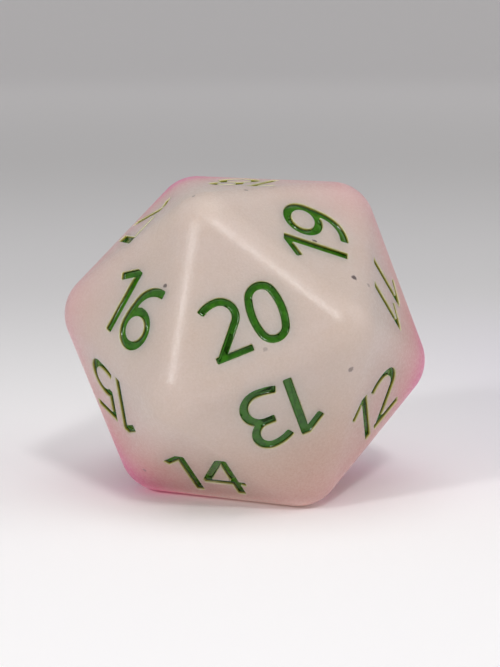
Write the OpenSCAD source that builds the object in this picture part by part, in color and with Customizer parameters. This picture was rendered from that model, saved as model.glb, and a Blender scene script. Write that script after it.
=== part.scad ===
// Twenty-sided die with generously rounded edges and corners.
// A recessed number in every face holds a thin layer of paint.
// The die rests on face 4 with face 18 level on top, and its origin is the middle of
// the face it rests on. Numbers run in order from each face to one that touches it.

/* [Die] */
// Distance between two opposite faces
across_faces = 22; // [20:0.5:30]
// Radius that rounds every edge and corner
edge_r = 3.1; // [1.5:0.1:3.8]

/* [Numbers] */
// Height of a digit with a flat head and foot
digit_h = 4.7; // [3.8:0.1:5]
// Height of the digits of 20, which are smaller so that the widest number fits its face
twenty_h = 4.1; // [3.6:0.1:4.5]
// Width of a digit
digit_w = 2.95; // [2.5:0.05:3.2]
// Width of the digit 1, from the tip of its flag
one_w = 1.88; // [1.6:0.04:2.2]
// Width of the digit 4
four_w = 3.15; // [2.6:0.05:3.3]
// Width of an upright or curved stroke
stroke_w = 0.6; // [0.4:0.02:0.8]
// Width of a level or slanted stroke
thin_w = 0.52; // [0.4:0.02:0.7]
// Radius at the corners of a stroke's blunt end
end_r = 0.12; // [0.05:0.01:0.18]
// How far a round digit passes the flat ones at head and foot
overshoot = 0.08; // [0.02:0.01:0.15]
// Space between two digits
digit_gap = 0.47; // [0.2:0.03:0.68]
// Distance of a number's middle below the middle of its face
number_drop = 0.45; // [0.2:0.05:0.6]
// Diameter of the dot that tells a lone 6 from a lone 9
dot_d = 0.7; // [0.5:0.05:0.9]
// Depth of the recessed numbers
recess_depth = 0.5; // [0.35:0.05:1]

/* [Paint] */
// Thickness of the paint on the recess floor
paint_t = 0.2; // [0.1:0.05:0.3]

/* [Hidden] */
$fn = 64;
function paint_name(n) = str("paint_", n < 10 ? "0" : "", n);

// The regular icosahedron, standing on a corner: corner 0 is the pole on top, corners 1 to 5
// and 6 to 10 are two rings of five, and corner 11 is the pole below.
golden = (1 + sqrt(5)) / 2;
inradius = across_faces / 2;
edge = across_faces * sqrt(3) / pow(golden, 2);
circumradius = edge * sqrt(golden * sqrt(5)) / 2;
// Angles from the pole: to the faces that touch it, and to the upper ring of corners
cap_tilt = acos(inradius / circumradius);
ring_tilt = acos(1 / sqrt(5));
// Angle between the normals of two faces that share an edge
fold = 180 - 2 * asin(golden / sqrt(3));

// The centres of the corner roundings are the corners of a smaller icosahedron.
core_r = circumradius * (inradius - edge_r) / inradius;
core_edge = edge * (inradius - edge_r) / inradius;
// Straight steps in which the rounding turns from one face to the next
round_steps = 6;
// How far a cutter reaches past the surface
cut_past = 0.5;

function unit(v) = v / norm(v);
function point_at(tilt, turn) = [sin(tilt) * cos(turn), sin(tilt) * sin(turn), cos(tilt)];
corners = core_r * [
  point_at(0, 0),
  for (k = [0:4]) point_at(ring_tilt, 72 * k),
  for (k = [0:4]) point_at(180 - ring_tilt, 72 * k + 36),
  point_at(180, 0)
];

// Faces 20 to 16 lie round the upper pole, 15 to 6 zigzag along the belt, and 5 to 1 lie
// round the lower pole. On the belt, the odd faces hang from the upper ring of corners.
function face_turn(n) = n > 15 ? 36 + 72 * (20 - n)
  : n > 5 ? 324 + 36 * (15 - n)
  : 288 + 72 * (5 - n);
function face_tilt(n) = n > 15 ? cap_tilt
  : n > 5 && n % 2 == 1 ? cap_tilt + fold
  : n > 5 ? 180 - cap_tilt - fold
  : 180 - cap_tilt;
// A number's head points to the corner that its face doesn't share with its own ring.
function heads_up(n) = n > 15 || (n > 5 && n % 2 == 0);
top_face = 18;

// Turns the die from standing on a corner to resting on a face.
module at_rest() {
  translate([0, 0, inradius]) rotate([0, 0, 90]) rotate([0, -cap_tilt, 0])
    rotate([0, 0, -face_turn(top_face)]) children();
}

// Puts a flat drawing on face n, with z = 0 on the face.
module on_face(n) {
  rotate([0, face_tilt(n), face_turn(n)]) rotate(heads_up(n) ? 90 : -90)
    translate([0, 0, inradius]) children();
}

// ---- Rounded shell ----

function is_edge(i, j) = i != j && norm(corners[i] - corners[j]) < 1.1 * core_edge;
// The normals of the two faces that meet at edge i-j
function edge_normals(i, j) = [
  for (k = [0:11]) if (is_edge(i, k) && is_edge(j, k)) unit(corners[i] + corners[j] + corners[k])
];
// The part of corner i's rounding that lies beside one edge: a triangle on the sphere
// between the corner's own direction and the normals of the edge's two faces.
function rounding(i, normals) = [
  for (a = [0:round_steps], b = [0:round_steps - a])
    let (c = round_steps - a - b)
    corners[i] + edge_r * unit(a * unit(corners[i]) + b * normals[0] + c * normals[1])
];
shell_points = [
  for (i = [0:11], j = [0:11]) if (is_edge(i, j)) each rounding(i, edge_normals(i, j))
];

module shell() {
  hull() polyhedron(shell_points, [for (k = [0:3:len(shell_points) - 3]) [k, k + 1, k + 2]]);
}

// ---- Strokes ----

// The last end_r of a stroke that runs along x and stops at x = end_r
module blunt_end(w) {
  for (side = [-1, 1]) translate([0, side * (w / 2 - end_r)]) circle(end_r);
  translate([-end_r, end_r - w / 2]) square([2 * end_r, w - 2 * end_r]);
}

// A straight stroke between two points, with both ends blunt
module bar(from, to, w) {
  run = norm(to - from);
  translate(from) rotate(atan2(to[1] - from[1], to[0] - from[0])) {
    translate([end_r, -w / 2]) square([run - 2 * end_r, w]);
    translate([end_r, 0]) rotate(180) blunt_end(w);
    translate([run - end_r, 0]) blunt_end(w);
  }
}

// How far a curved stroke runs into the next one
join_lap = 0.02;

module ring(r) {
  difference() {
    circle(r + stroke_w / 2);
    circle(r - stroke_w / 2);
  }
}

// The part of a round shape about the origin between two angles less than 270 degrees apart
module sector(r, from, to) {
  rim = [for (k = [0:4]) let (a = from + (to - from) * k / 4) 3 * r * [cos(a), sin(a)]];
  intersection() {
    children();
    polygon([[0, 0], each rim]);
  }
}

// A curved stroke round the origin
module arc(r, from, to) {
  sector(r, from, to) ring(r);
}

// An arc drawn a little past both its angles, so that it joins the strokes it runs into
module joining_arc(r, from, to) {
  over = join_lap / r * 180 / PI;
  arc(r, from - over, to + over);
}

// An arc that ends blunt at its second angle
module ending_arc(r, from, to) {
  last = to - end_r / r * 180 / PI;
  arc(r, from, last);
  rotate(last) translate([r, 0]) rotate(90) blunt_end(stroke_w);
}

// A flat curve that starts level at the origin and runs left over a given reach
module hook(reach, r) {
  translate([0, -r]) ending_arc(r, 90, 90 + asin(reach / r));
}

// A slanted stroke whose left side leaves one circle, at its foot, and bends over another
module slant(foot, foot_r, bend, bend_r) {
  reach = bend - foot;
  spread = bend_r - foot_r;
  lean = atan2(reach[1], reach[0]) + asin(spread / norm(reach));
  run = sqrt(pow(norm(reach), 2) - pow(spread, 2));
  translate(foot) rotate(lean) translate([0, foot_r - thin_w]) square([run, thin_w]);
  translate(bend) sector(bend_r, 90, 90 + lean) circle(bend_r);
}

// ---- Digits, from x = 0 rightwards and from y = 0 upwards ----

// Lowest and highest middle line of a round digit's stroke
low = stroke_w / 2 - overshoot;
high = digit_h + overshoot - stroke_w / 2;
// Middle-line radii of a large lower bowl and of the smaller bowl that fills the rest
bowl_r = (digit_w - stroke_w) / 2;
bead_r = (high - low) / 2 - bowl_r;
bowl_y = low + bowl_r;
bowl_x = digit_w - stroke_w / 2 - bowl_r;
hook_reach = bowl_x - 0.05 * digit_w;
hook_r = 0.75 * digit_w;
foot_r = 1.35 * digit_w;

module head_bar(left) {
  bar([left, digit_h - thin_w / 2], [digit_w, digit_h - thin_w / 2], thin_w);
}

module stem(x) {
  bar([x, 0], [x, digit_h], stroke_w);
}

// Half an oval's outline is one flat side arc and one tight end arc, which meet smoothly.
module digit_0() {
  half_h = (high - low) / 2;
  tight_r = 0.85 * bowl_r;
  side_r = (pow(bowl_r, 2) + pow(half_h - tight_r, 2) - pow(tight_r, 2)) / (bowl_r - tight_r) / 2;
  turn = atan2(half_h - tight_r, side_r - bowl_r);
  for (half = [0, 180]) translate([digit_w / 2, digit_h / 2]) rotate(half) {
    translate([bowl_r - side_r, 0]) joining_arc(side_r, -turn, turn);
    translate([0, half_h - tight_r]) arc(tight_r, turn, 180 - turn);
  }
}

module digit_1() {
  flag_a = 37;
  flag_drop = 0.25 * digit_h;
  along = [cos(flag_a), sin(flag_a)];
  flag_tip = [thin_w / 2 * along[1], digit_h - flag_drop];
  flag_len = (flag_drop - thin_w / 2 * along[0]) / along[1];
  stem(one_w - stroke_w / 2);
  intersection() {
    bar(flag_tip, flag_tip + 2 * flag_len * along, thin_w);
    square([one_w - end_r, digit_h]);
  }
}

module digit_2() {
  bowl = [bowl_x, high - bowl_r];
  // The neck leaves the bowl straight and lands on the foot's left end.
  landing = [stroke_w / 2 + end_r, thin_w / 2];
  to_landing = landing - bowl;
  leave = atan2(to_landing[1], to_landing[0]) + acos(bowl_r / norm(to_landing));
  neck = bowl + bowl_r * [cos(leave), sin(leave)];
  translate(bowl) arc(bowl_r, leave, 90);
  translate([bowl_x, high]) hook(hook_reach, hook_r);
  bar(landing, neck + end_r * unit(neck - landing), stroke_w);
  bar([0, thin_w / 2], [digit_w, thin_w / 2], thin_w);
}

module digit_3() {
  waist_y = low + 2 * bowl_r;
  translate([bowl_x, bowl_y]) arc(bowl_r, -90, 90);
  translate([bowl_x, high - bead_r]) arc(bead_r, -90, 90);
  bar([bowl_x - 0.22 * digit_w, waist_y], [bowl_x + end_r, waist_y], stroke_w);
  translate([bowl_x, high]) hook(hook_reach, hook_r);
  translate([bowl_x, low]) mirror([0, 1]) hook(hook_reach, foot_r);
}

module digit_4() {
  stem_x = 0.76 * four_w;
  bar_y = 0.32 * digit_h;
  bend_r = 0.9 * stroke_w;
  // The slanted stroke rounds the end of the bar and bends over into the head of the stem.
  foot = [end_r, bar_y + thin_w / 2 - end_r];
  bend = [stem_x - stroke_w / 2 + end_r, digit_h - bend_r];
  stem(stem_x);
  bar([0, bar_y], [four_w, bar_y], thin_w);
  slant(foot, end_r, bend, bend_r);
}

module digit_5() {
  start = 128;
  stem_x = 0.23 * digit_w;
  stem_foot = bowl_y + (bowl_r - stroke_w / 2) * sin(start) - end_r;
  translate([bowl_x, bowl_y]) arc(bowl_r, -90, start);
  translate([bowl_x, low]) mirror([0, 1]) hook(hook_reach, foot_r);
  bar([stem_x, stem_foot], [stem_x, digit_h], stroke_w);
  head_bar(stem_x - stroke_w / 2);
}

// The spine rises from the bowl's left side as a long arc and a tighter one.
module digit_6() {
  spine_w = 0.72 * digit_w;
  spine_h = high - bowl_y;
  tight_r = 0.94 * spine_w;
  side_r = (pow(spine_w, 2) + pow(spine_h - tight_r, 2) - pow(tight_r, 2)) / (spine_w - tight_r) / 2;
  turn = atan2(spine_h - tight_r, side_r - spine_w);
  translate([digit_w / 2, bowl_y]) ring(bowl_r);
  translate([stroke_w / 2 + side_r, bowl_y]) joining_arc(side_r, 180 - turn, 180);
  translate([stroke_w / 2 + spine_w, high - tight_r])
    mirror([1, 0]) ending_arc(tight_r, turn, 90);
}

module digit_7() {
  head_bar(0);
  bar([0.3 * digit_w, stroke_w / 4], [digit_w - 0.6 * stroke_w, digit_h - thin_w / 2], stroke_w);
}

module digit_8() {
  translate([digit_w / 2, bowl_y]) ring(bowl_r);
  translate([digit_w / 2, high - bead_r]) ring(bead_r);
}

module digit_9() {
  translate([digit_w, digit_h]) rotate(180) digit_6();
}

module digit(d) {
  if (d == 0) digit_0();
  if (d == 1) digit_1();
  if (d == 2) digit_2();
  if (d == 3) digit_3();
  if (d == 4) digit_4();
  if (d == 5) digit_5();
  if (d == 6) digit_6();
  if (d == 7) digit_7();
  if (d == 8) digit_8();
  if (d == 9) digit_9();
}

function width_of(d) = d == 1 ? one_w : d == 4 ? four_w : digit_w;
function needs_dot(n) = n == 6 || n == 9;

// The outline of number n, centred across its face. All numbers stand on one base line.
module number(n) {
  tens = floor(n / 10);
  units = n % 10;
  lead = n < 10 ? 0 : width_of(tens) + digit_gap;
  total = lead + width_of(units);
  size = n == 20 ? twenty_h / digit_h : 1;
  translate([0, -number_drop - digit_h / 2]) scale(size) translate([-total / 2, 0]) {
    if (n > 9) digit(tens);
    translate([lead, 0]) digit(units);
    if (needs_dot(n)) translate([total + digit_gap / 2 + dot_d / 2, dot_d / 2]) circle(d = dot_d);
  }
}

// ---- Sub-parts ----

module body() color([0.86, 0.79, 0.74]) {
  at_rest() difference() {
    shell();
    for (n = [1:20]) on_face(n) translate([0, 0, -recess_depth])
      linear_extrude(recess_depth + cut_past) number(n);
  }
}

module paint(n) color([0.13, 0.42, 0.09]) {
  at_rest() on_face(n) translate([0, 0, -recess_depth]) linear_extrude(paint_t) number(n);
}

body();
for (n = [1:20]) paint(n);
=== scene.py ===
# Twenty-sided die of frosted silicone rubber, with green paint in its recessed numbers.
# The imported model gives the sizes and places: metres, with the die resting on z = 0.

import math
import bpy
from mathutils import Matrix, Vector
from mathutils.bvhtree import BVHTree


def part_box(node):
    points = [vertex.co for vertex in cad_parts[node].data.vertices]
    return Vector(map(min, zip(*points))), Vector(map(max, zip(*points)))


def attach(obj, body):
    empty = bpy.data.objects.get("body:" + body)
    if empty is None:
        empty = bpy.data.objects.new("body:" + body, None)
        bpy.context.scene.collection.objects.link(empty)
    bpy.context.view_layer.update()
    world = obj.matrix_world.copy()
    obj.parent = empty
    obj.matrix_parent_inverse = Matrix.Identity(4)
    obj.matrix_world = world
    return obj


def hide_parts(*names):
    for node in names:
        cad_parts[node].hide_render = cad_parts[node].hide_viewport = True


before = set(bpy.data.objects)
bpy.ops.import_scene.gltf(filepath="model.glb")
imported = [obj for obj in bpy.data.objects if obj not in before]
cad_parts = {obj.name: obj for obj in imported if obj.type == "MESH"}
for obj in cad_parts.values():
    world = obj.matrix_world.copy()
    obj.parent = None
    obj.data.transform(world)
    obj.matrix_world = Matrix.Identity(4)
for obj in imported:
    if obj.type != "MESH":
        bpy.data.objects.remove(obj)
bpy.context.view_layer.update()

# ---- Body ----
# One moulding of soft frosted silicone: a regular icosahedron whose edges and corners are
# all rounded to one radius, with a number sunk into each face. It is cast in two tints that
# run into each other, cream on one side and pink on the other.

low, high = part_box("body")
inradius = (high.z - low.z) / 2
centre = Vector((0, 0, inradius))
# Radius of every rounded edge and corner, the steps it is made in, and a recess rim's radius
edge_r = 0.0031
round_steps = 12
rim_r = 0.00008

# The regular icosahedron: how far a corner lies from the centre, how far a face leans from the
# axis of its corner, and how far one face turns from the next
golden = (1 + math.sqrt(5)) / 2
circumradius = inradius * math.sqrt(3 * golden * math.sqrt(5)) / golden ** 2
cap_tilt = math.acos(inradius / circumradius)
fold = math.acos(math.sqrt(5) / 3)
at_rest = (Matrix.Rotation(math.radians(90), 3, "Z") @ Matrix.Rotation(-cap_tilt, 3, "Y")
           @ Matrix.Rotation(math.radians(180), 3, "Z"))


def pick(piece):
    """Makes a piece the only one selected."""
    bpy.ops.object.select_all(action="DESELECT")
    piece.select_set(True)
    bpy.context.view_layer.objects.active = piece


def icosahedron(name, radius):
    """A sharp twenty-sided solid round the die's centre, turned as the die rests."""
    bpy.ops.object.select_all(action="DESELECT")
    bpy.ops.mesh.primitive_ico_sphere_add(
        subdivisions=1, radius=radius, location=centre, rotation=at_rest.to_euler())
    bpy.ops.object.transform_apply(location=True, rotation=True, scale=True)
    solid = bpy.context.object
    solid.name = name
    solid.data.name = name
    return solid


def apply_modifier(piece, kind, **settings):
    """Adds a modifier, sets it and applies it."""
    pick(piece)
    bpy.ops.object.modifier_add(type=kind)
    modifier = piece.modifiers[-1]
    for name, value in settings.items():
        setattr(modifier, name, value)
    bpy.ops.object.modifier_apply(modifier=modifier.name)


def edit_faces(piece, wanted):
    """Opens a piece in edit mode with only the faces selected that pass a test."""
    pick(piece)
    bpy.ops.object.mode_set(mode="EDIT")
    bpy.ops.mesh.select_mode(type="FACE")
    bpy.ops.mesh.select_all(action="DESELECT")
    bpy.ops.object.mode_set(mode="OBJECT")
    for face in piece.data.polygons:
        face.select = wanted(face)
    bpy.ops.object.mode_set(mode="EDIT")


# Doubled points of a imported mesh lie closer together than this, and true ones further apart.
weld_gap = 0.000012


def merged_copy(node, name):
    """A copy of a CAD node's mesh as one closed skin, whose triangles were loose."""
    copy = bpy.data.objects.new(name, node.data.copy())
    copy.data.name = name
    bpy.context.scene.collection.objects.link(copy)
    pick(copy)
    bpy.ops.object.mode_set(mode="EDIT")
    bpy.ops.mesh.select_all(action="SELECT")
    bpy.ops.mesh.remove_doubles(threshold=weld_gap)
    bpy.ops.mesh.dissolve_limited(angle_limit=math.radians(1))
    bpy.ops.object.mode_set(mode="OBJECT")
    return copy


# The core is the solid that a ball of the edge radius rolls round to make the shell.
core = icosahedron("core", circumradius * (inradius - edge_r) / inradius)
core_tree = BVHTree.FromObject(core, bpy.context.evaluated_depsgraph_get())
normals = [face.normal.copy() for face in core.data.polygons]


def facing(node):
    """The outward direction of the die face that holds a number's paint."""
    lowest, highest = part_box(node)
    outward = (lowest + highest) / 2 - centre
    return max(normals, key=outward.dot)


def edit_top(paint, outward):
    """Opens a number's paint in edit mode with its outer surface selected."""
    edit_faces(paint, lambda face: face.normal.dot(outward) > 0.9)


body = icosahedron("silicone_body", circumradius)
apply_modifier(body, "BEVEL", width=edge_r * math.tan(fold / 2), segments=round_steps,
               limit_method="NONE", use_clamp_overlap=False)
apply_modifier(body, "SHRINKWRAP", target=core, wrap_method="NEAREST_SURFACEPOINT",
               wrap_mode="OUTSIDE_SURFACE", offset=edge_r)

# Each recess is cut by its number's paint, drawn out from the paint's surface past the face.
cut_past = 0.0005
paint_nodes = sorted(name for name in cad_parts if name.startswith("paint_"))
cutters = []
for name in paint_nodes:
    outward = facing(name)
    cutter = merged_copy(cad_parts[name], "cutter_" + name)
    edit_top(cutter, outward)
    bpy.ops.transform.translate(value=outward * cut_past)
    bpy.ops.object.mode_set(mode="OBJECT")
    cutters.append(cutter)
pick(cutters[0])
for cutter in cutters:
    cutter.select_set(True)
bpy.ops.object.join()
cutter = cutters[0]
apply_modifier(body, "BOOLEAN", object=cutter, operation="DIFFERENCE", solver="EXACT")
bpy.data.objects.remove(cutter)

# The rims of the recesses are a little soft, as in any rubber moulding.
pick(body)
bpy.ops.object.mode_set(mode="EDIT")
bpy.ops.mesh.select_mode(type="EDGE")
bpy.ops.mesh.select_all(action="DESELECT")
bpy.ops.object.mode_set(mode="OBJECT")
mesh = body.data
sides = {}
for face in mesh.polygons:
    for key in face.edge_keys:
        sides.setdefault(key, []).append(face.normal)
for edge in mesh.edges:
    pair = sides[edge.key]
    middle = (mesh.vertices[edge.vertices[0]].co + mesh.vertices[edge.vertices[1]].co) / 2 - centre
    at_face = max(middle.dot(normal) for normal in normals) > inradius - rim_r / 10
    edge.select = at_face and len(pair) == 2 and pair[0].dot(pair[1]) < 0.5
bpy.ops.object.mode_set(mode="EDIT")
bpy.ops.mesh.bevel(offset=rim_r, segments=3, affect="EDGES", clamp_overlap=False,
                   loop_slide=False)
bpy.ops.object.mode_set(mode="OBJECT")
bpy.ops.object.shade_smooth_by_angle(angle=math.radians(35))
apply_modifier(body, "WEIGHTED_NORMAL", weight=100, keep_sharp=True)

# How far each point lies below the shell, in millimetres, guides the paint's stain and the painted
# shade down the recess walls.
mesh = body.data
sunk = mesh.attributes.new("sunk", "FLOAT", "POINT")
for vertex, value in zip(mesh.vertices, sunk.data):
    value.value = (edge_r - core_tree.find_nearest(vertex.co)[3]) * 1000


class Shade:
    """A socket in a material, on which numbers and other sockets work as in a sum."""

    def __init__(self, tree, socket):
        self.tree = tree
        self.socket = socket

    def node(self, kind, settings=None, inputs=None, output=0):
        made = self.tree.nodes.new(kind)
        for name, value in (settings or {}).items():
            setattr(made, name, value)
        for name, value in (inputs or {}).items():
            if isinstance(value, Shade):
                self.tree.links.new(value.socket, made.inputs[name])
            else:
                made.inputs[name].default_value = value
        return Shade(self.tree, made.outputs[output])

    def math(self, operation, first, second=0.0):
        return self.node("ShaderNodeMath", {"operation": operation}, {0: first, 1: second})

    def __add__(self, other):
        return self.math("ADD", self, other)

    def __sub__(self, other):
        return self.math("SUBTRACT", self, other)

    def __rsub__(self, other):
        return self.math("SUBTRACT", other, self)

    def __mul__(self, other):
        return self.math("MULTIPLY", self, other)

    __radd__ = __add__
    __rmul__ = __mul__

    def fade(self, start, end):
        """Rises smoothly from 0 at start to 1 at end, or falls if end is below start."""
        settings = {"interpolation_type": "SMOOTHSTEP"}
        if end < start:
            return 1 - self.node("ShaderNodeMapRange", settings, {0: self, 1: end, 2: start})
        return self.node("ShaderNodeMapRange", settings, {0: self, 1: start, 2: end})

    def most(self, other):
        """The larger of this and another."""
        return self.math("MAXIMUM", self, other)

    def noise(self, scale, detail=2.0, roughness=0.5, seed=0.0):
        """Soft noise round 0, from about -0.5 to 0.5, on a position."""
        settings = {"noise_dimensions": "4D"}
        inputs = {"Vector": self, "W": seed, "Scale": scale, "Detail": detail, "Roughness": roughness}
        return self.node("ShaderNodeTexNoise", settings, inputs) - 0.5

    def tint(self, start, end):
        """The colour between two colours, with this as the share of the second."""
        inputs = {0: self, 6: start, 7: end}
        return self.node("ShaderNodeMix", {"data_type": "RGBA"}, inputs, 2)

    def along(self, direction):
        """How far a position lies in a direction."""
        return self.node("ShaderNodeVectorMath", {"operation": "DOT_PRODUCT"},
                         {0: self, 1: direction}, "Value")

    def distance(self, point):
        """How far a position lies from a point."""
        return self.node("ShaderNodeVectorMath", {"operation": "DISTANCE"},
                         {0: self, 1: point}, "Value")


def rgb(red, green, blue):
    """A colour from its display values, 0 to 255."""
    shares = [value / 255 for value in (red, green, blue)]
    return [((s + 0.055) / 1.055) ** 2.4 if s > 0.04045 else s / 12.92 for s in shares] + [1]


def finish_named(name):
    """An empty material: its node tree, its shader, and the place on the piece in mm."""
    material = bpy.data.materials.new(name)
    material.use_nodes = True
    tree = material.node_tree
    shader = tree.nodes["Principled BSDF"]
    start = Shade(tree, None)
    place = start.node("ShaderNodeTexCoord", output="Object")
    place = place.node("ShaderNodeMapping", {"vector_type": "POINT"},
                       {"Vector": place, "Location": -1000 * centre, "Scale": (1000, 1000, 1000)})
    return material, shader, place


def connect(shader, name, value):
    if isinstance(value, Shade):
        value.tree.links.new(value.socket, shader.inputs[name])
    else:
        shader.inputs[name].default_value = value


def bump(height, depth):
    """A surface normal from a height of about -0.5 to 0.5 times a depth in metres."""
    return height.node("ShaderNodeBump", {}, {"Height": height, "Distance": depth, "Strength": 1.0})


black = rgb(0, 0, 0)
cream = rgb(201, 185, 176)
warm_cream = rgb(199, 182, 170)
rosy_shade = rgb(190, 164, 149)
pink = rgb(228, 66, 118)
magenta = rgb(216, 18, 148)
pale_grain = rgb(222, 207, 200)
dust_grey = rgb(82, 70, 72)
stained_rim = rgb(196, 190, 140)
stained_wall = rgb(136, 132, 28)
stain_and_painted_shade = rgb(40, 66, 12)
cream_glow = rgb(102, 92, 84)
pink_glow = rgb(106, 62, 72)

# Dust caught in the surface: its place in mm from the centre, its radius, and how dark it is.
dust = [((6.8, -4.0, 7.7), 0.2, 0.9), ((9.7, -4.1, 5.4), 0.26, 0.9), ((10.4, -3.2, 4.8), 0.2, 0.4),
        ((10.4, -6.4, -0.4), 0.26, 0.6), ((-1.4, -10.1, 5.0), 0.2, 0.8), ((5.7, -9.8, 1.2), 0.2, 0.35),
        ((-4.9, -6.6, -8.7), 0.2, 0.45), ((4.9, -8.1, 5.0), 0.24, 0.3), ((-0.7, -7.1, 10.7), 0.17, 0.6),
        ((1.8, -4.1, 10.9), 0.2, 0.7)]

# The tints run into each other along one slanting direction, over most of the die. The corners
# on the pink side reach into magenta. The lower part is painted a darker, rosier cream: painted shade.
frosted, shader, place = finish_named("frosted_silicone")
drift = place.noise(0.14, 1.0, seed=3.0) * 3.0
reach = place.along((-0.39, 0.88, -0.27)) + drift
pinkness = reach.fade(-8.9, 13.9)
cornered = place.distance((0, 0, 0)).fade(11.3, 12.7)
deepness = reach.fade(0.0, 11.0).most(pinkness * pinkness * cornered * 3.5)
# Painted shade: the lower part of the die is painted a darker, rosier cream.
lower_painted_shade = place.along((0.04, 0.59, -0.81)).fade(-3.6, 3.1)
mottle = place.noise(0.35, 2.0, seed=1.0).fade(-0.3, 0.3)
colour = mottle.tint(cream, warm_cream)
colour = lower_painted_shade.tint(colour, rosy_shade)
colour = pinkness.tint(colour, pink)
colour = deepness.tint(colour, magenta)
grain = place.noise(7.0, 2.0, 0.6, seed=12.0).fade(-0.25, 0.25)
colour = (grain * 0.25).tint(colour, pale_grain)
ragged = place.noise(6.0, 2.0, seed=4.0) * 0.25
for spot, spot_r, darkness in dust:
    near = (place.distance(spot) + ragged).fade(spot_r, spot_r / 2)
    colour = (near * darkness).tint(colour, dust_grey)

# The paint leaves a yellow-green stain at a recess's rim. Further down the wall it darkens to a deep
# green, partly thicker paint and partly painted shade in the recess.
sunk_depth = place.node("ShaderNodeAttribute", {"attribute_name": "sunk"}, output="Fac")
colour = (sunk_depth.fade(0.0, 0.03) * 0.8).tint(colour, stained_rim)
colour = sunk_depth.fade(0.05, 0.12).tint(colour, stained_wall)
# Painted shade, together with the paint's stain: the lower wall of each recess darkens to a deep green.
colour = sunk_depth.fade(0.12, 0.25).tint(colour, stain_and_painted_shade)
connect(shader, "Base Color", colour)
connect(shader, "Subsurface Weight", 1.0)
connect(shader, "Subsurface Radius", (0.95, 0.9, 0.9))
connect(shader, "Subsurface Scale", 0.003)
connect(shader, "IOR", 1.41)
connect(shader, "Roughness", 0.34 + place.noise(2.0, 3.0, seed=2.0) * 0.1)
connect(shader, "Coat Weight", place.noise(4.0, 2.0, 0.7, seed=11.0).fade(-0.06, 0.12) * 0.6)
connect(shader, "Coat Roughness", 0.31)
connect(shader, "Coat IOR", 1.41)
connect(shader, "Normal", bump(place.noise(7.0, 2.0, 0.6, seed=5.0), 0.000014))

# The lowest millimetre glows faintly, with light that the translucent rubber takes up from a
# pale table and carries round its lower edge.
foot = place.along((0, 0, 1)).fade(-9.9, -10.9)
glow = reach.fade(-1.8, 1.2).tint(cream_glow, pink_glow)
connect(shader, "Emission Color", foot.tint(black, glow))
connect(shader, "Emission Strength", 1.0)
body.data.materials.clear()
body.data.materials.append(frosted)
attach(body, "root")
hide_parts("body")
bpy.data.objects.remove(core)

# ---- Number paint ----
# Green enamel run into the recess of each number and wiped off the faces. It lies thin on the
# recess floor and creeps a little way up the walls.

deep_green = rgb(38, 98, 4)
bright_green = rgb(62, 128, 16)
streak_green = rgb(30, 64, 6)
thick_edge_and_painted_shade = rgb(22, 58, 6)

enamel, shader, place = finish_named("green_enamel")
colour = place.noise(0.8, 3.0, seed=7.0).fade(-0.35, 0.35).tint(deep_green, bright_green)
streak = place.noise(3.0, 3.0, 0.6, seed=6.0).fade(-0.1, 0.25)
colour = (streak * 0.7).tint(colour, streak_green)
climbed = place.node("ShaderNodeAttribute", {"attribute_name": "climb"}, output="Fac")
# Where the paint climbs the walls it is painted darker: partly thicker paint, partly painted shade
# along the recess walls.
connect(shader, "Base Color", climbed.fade(0.2, 0.9).tint(colour, thick_edge_and_painted_shade))
connect(shader, "Roughness", 0.18 + place.noise(3.0, 2.0, seed=8.0) * 0.15)
connect(shader, "Specular IOR Level", 0.5)
connect(shader, "Normal", bump(place.noise(1.2, 2.0, seed=9.0), 0.00006))

# The paint's surface in steps inwards from the wall: the width of each and its drop. The
# middle lies a little below the surface that the CAD paint has.
creep = [(0.00003, 0.00005), (0.00005, 0.00004), (0.00007, 0.00002)]
enamel_dip = 0.00003
creep_height = sum(drop for width, drop in creep)
for name in paint_nodes:
    outward = facing(name)
    fill = merged_copy(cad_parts[name], name.replace("paint", "enamel"))
    edit_top(fill, outward)
    bpy.ops.transform.translate(value=outward * (creep_height - enamel_dip))
    for width, drop in creep:
        bpy.ops.mesh.inset(thickness=width, depth=-drop, use_boundary=True,
                           use_even_offset=False)
    bpy.ops.object.mode_set(mode="OBJECT")
    bpy.ops.object.shade_smooth_by_angle(angle=math.radians(50))
    apply_modifier(fill, "WEIGHTED_NORMAL", weight=100, keep_sharp=True)
    # How far each point has crept up the wall, from 0 at the middle's level to 1 at the top.
    levels = [vertex.co.dot(outward) for vertex in fill.data.vertices]
    top = max(levels)
    climb = fill.data.attributes.new("climb", "FLOAT", "POINT")
    for value, level in zip(climb.data, levels):
        value.value = max(0, 1 - (top - level) / creep_height)
    fill.data.materials.clear()
    fill.data.materials.append(enamel)
    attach(fill, "root")
    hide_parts(name)

# ---- Floor and backdrop ----
# One sheet of pale paper, laid flat under the die and curved up into a wall all round. It is
# white near the die and painted greyer with the distance, as painted shade where the light falls off,
# with painted lilac light beside the die.

floor_r = 1.2
bend_r = 0.5
bend_steps = 12
bpy.ops.object.select_all(action="DESELECT")
bpy.ops.mesh.primitive_circle_add(vertices=96, radius=floor_r - bend_r, fill_type="TRIFAN")
sweep = bpy.context.object
sweep.name = "floor"
bpy.ops.object.mode_set(mode="EDIT")
bpy.ops.mesh.select_mode(type="EDGE")
bpy.ops.mesh.select_all(action="DESELECT")
bpy.ops.object.mode_set(mode="OBJECT")
for edge in sweep.data.edges:
    edge.select = all(sweep.data.vertices[v].co.length > bend_r / 2 for v in edge.vertices)
bpy.ops.object.mode_set(mode="EDIT")

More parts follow.
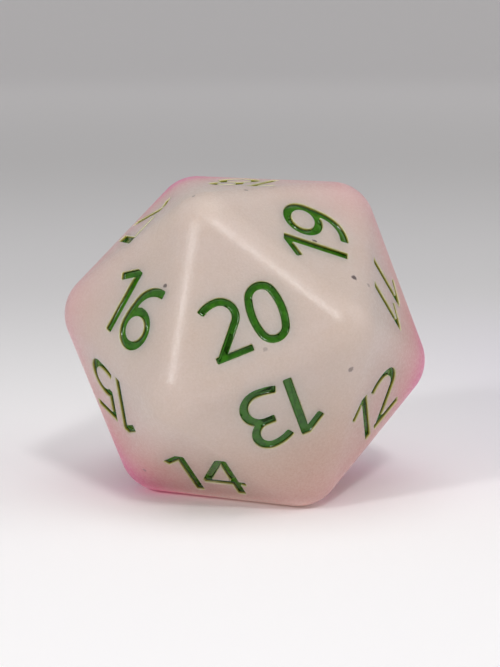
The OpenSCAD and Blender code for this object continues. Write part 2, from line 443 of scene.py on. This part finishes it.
# The disc's outer edge is drawn outwards and up, step by step, into the wall.
reached = floor_r - bend_r
step_angle = math.radians(90) / bend_steps
for step in range(1, bend_steps + 1):
    angle = step_angle * step
    radius = floor_r - bend_r + bend_r * math.sin(angle)
    rise = bend_r * (math.cos(angle - step_angle) - math.cos(angle))
    bpy.ops.mesh.extrude_edges_move(TRANSFORM_OT_translate={"value": (0, 0, rise)})
    bpy.ops.transform.resize(value=(radius / reached, radius / reached, 1), center_override=(0, 0, 0))
    reached = radius
bpy.ops.object.mode_set(mode="OBJECT")
bpy.ops.object.shade_smooth()

# Distances over the paper, in mm, are taken from a point on it in front of the die.
front_turn = math.radians(23.5)
front_point = Vector((60 * math.sin(front_turn), -60 * math.cos(front_turn), -11))
near_white = rgb(253, 251, 252)
mid_grey = rgb(217, 215, 216)
far_grey = rgb(206, 204, 204)
painted_lilac_light = rgb(228, 219, 238)
far_light = rgb(110, 108, 109)

paper, shader, place = finish_named("pale_paper")
away = place.distance(front_point)
# Painted shade: the paper turns grey with the distance from the die, where the light falls off.
colour = away.fade(40, 170).tint(near_white, mid_grey)
colour = away.fade(150, 350).tint(colour, far_grey)
# Painted light: a lilac tint on the paper beside the die, for light coloured by the pink rubber.
beside = place.along((0.91, 0.4, 0)).fade(5, 40) * away.fade(50, 80) * away.fade(160, 100)
connect(shader, "Base Color", (beside * 0.5).tint(colour, painted_lilac_light))
connect(shader, "Roughness", 0.8)
connect(shader, "Specular IOR Level", 0.1)

# The far wall is lifted where it is seen or mirrored, and sheds no more light on the die.
seen = place.node("ShaderNodeLightPath", output="Is Camera Ray")
seen = seen + place.node("ShaderNodeLightPath", output="Is Glossy Ray")
connect(shader, "Emission Color", (seen * away.fade(200, 650)).tint(black, far_light))
connect(shader, "Emission Strength", 1.0)
sweep.data.materials.append(paper)

# ---- Lamps ----
# Soft light from all round, one large softbox above and one to the side, and two small ones
# in front that draw the bright lines along the upper edges.


def softbox(name, azimuth, elevation, distance, size, power):
    """A square lamp that faces the die, placed by its direction from the die's centre."""
    data = bpy.data.lights.new(name, "AREA")
    data.size = size
    data.energy = power
    made = bpy.data.objects.new(name, data)
    turn = math.radians(azimuth)
    rise = math.radians(elevation)
    toward = Vector((math.cos(turn) * math.cos(rise), math.sin(turn) * math.cos(rise), math.sin(rise)))
    made.location = centre + toward * distance
    made.rotation_euler = toward.to_track_quat("Z", "Y").to_euler()
    bpy.context.scene.collection.objects.link(made)


softbox("softbox_above", azimuth=-70, elevation=80, distance=0.6, size=0.5, power=1.06)
softbox("softbox_side", azimuth=12, elevation=30, distance=0.6, size=0.4, power=0.65)
softbox("softbox_left", azimuth=-109, elevation=29, distance=0.5, size=0.06, power=0.6)
softbox("softbox_right", azimuth=-51, elevation=45, distance=0.5, size=0.06, power=0.6)
world = bpy.data.worlds.new("studio")
bpy.context.scene.world = world
world.use_nodes = True
background = world.node_tree.nodes["Background"]
background.inputs["Color"].default_value = (1, 1, 1, 1)

# What a surface mirrors of the room is dimmer than what lights it, so the frosting stays matt.
mirrored = Shade(world.node_tree, None).node("ShaderNodeLightPath", output="Is Glossy Ray")
connect(background, "Strength", 0.345 - mirrored * 0.22)

# ---- Camera ----
# A long lens a hand's breadth from the die, a little above it, held almost level.

camera_azimuth = 23.86
camera_elevation = 10.06
camera_roll = -0.12
camera_distance = 0.1375
camera_aside = 0.00025

camera_data = bpy.data.cameras.new("camera")
camera_data.lens = 104.2
camera_data.sensor_width = 36
camera_data.clip_start = 0.01
camera_data.clip_end = 10
camera = bpy.data.objects.new("camera", camera_data)
turn = math.radians(camera_azimuth)
rise = math.radians(camera_elevation)
behind = Vector((math.sin(turn) * math.cos(rise), -math.cos(turn) * math.cos(rise), math.sin(rise)))
aim = behind.to_track_quat("Z", "Y").to_matrix() @ Matrix.Rotation(math.radians(camera_roll), 3, "Z")
camera.rotation_euler = aim.to_euler()
camera.location = centre + behind * camera_distance + camera_aside * (aim.col[0] + aim.col[1])
bpy.context.scene.collection.objects.link(camera)
bpy.context.scene.camera = camera
bpy.context.scene.view_settings.view_transform = "Standard"
